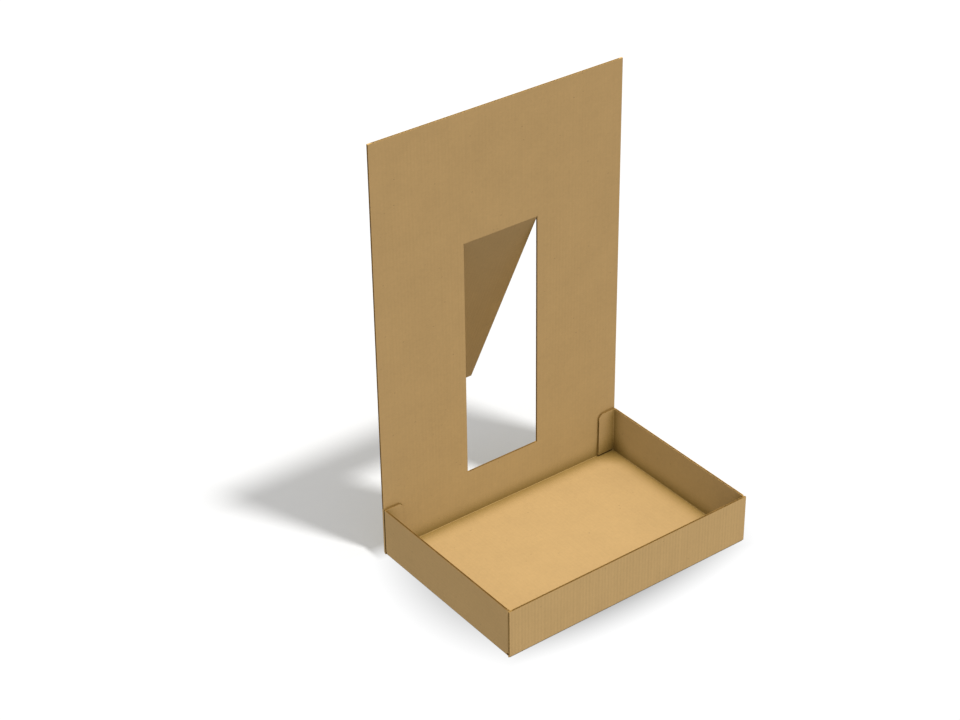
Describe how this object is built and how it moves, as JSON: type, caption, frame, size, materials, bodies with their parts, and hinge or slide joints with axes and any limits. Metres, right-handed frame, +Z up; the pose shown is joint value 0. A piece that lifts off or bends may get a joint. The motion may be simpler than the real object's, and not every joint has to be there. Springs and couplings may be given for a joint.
{
  "type": "easel-back display",
  "caption": "Counter display folded from one sheet of corrugated board: an open shallow tray, a tall back panel, and a strut cut from the panel and turned back behind it.",
  "frame": {"origin": "on the table, at the middle of the tray's underside", "axes": "+Z up along the back panel, +Y from the front wall towards the back panel, +X to the right seen from the front"},
  "size_m": [0.26, 0.2777, 0.4],
  "materials": {
    "kraft_board": "matte"
  },
  "bodies": {
    "root": {"display_board": "kraft_board"}
  },
  "joints": []
}
